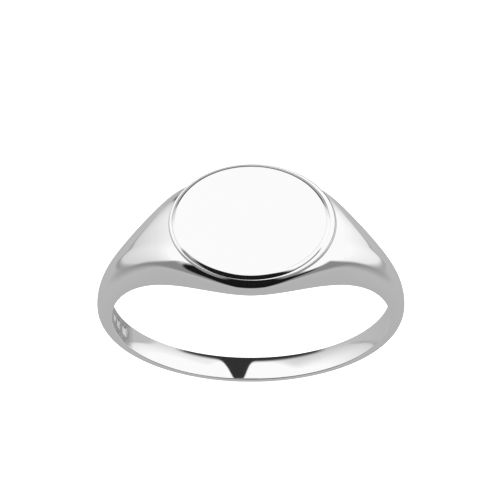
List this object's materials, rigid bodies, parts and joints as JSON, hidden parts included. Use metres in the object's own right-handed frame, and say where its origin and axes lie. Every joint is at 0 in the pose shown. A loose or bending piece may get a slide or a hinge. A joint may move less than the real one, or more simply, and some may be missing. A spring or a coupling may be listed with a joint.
{
  "type": "signet ring",
  "caption": "Polished silver signet ring with a blank oval table, flared head, tapering shoulders and a slim round-backed band, soldered from separate pieces.",
  "frame": {"origin": "centre of the finger hole, halfway through the ring", "axes": "+Z from the finger towards the oval table, +Y along the finger, X across the front of the ring"},
  "size_m": [0.019, 0.008, 0.021],
  "materials": {
    "silver": "mirror-polished sterling silver",
    "solder": "polished silver solder"
  },
  "bodies": {
    "root": {"signet_plate": "silver", "plate_solder": "solder", "signet_head": "silver", "left_shoulder": "silver", "right_shoulder": "silver", "left_head_solder": "solder", "right_head_solder": "solder", "shank": "silver", "left_shank_solder": "solder", "right_shank_solder": "solder"}
  },
  "joints": []
}
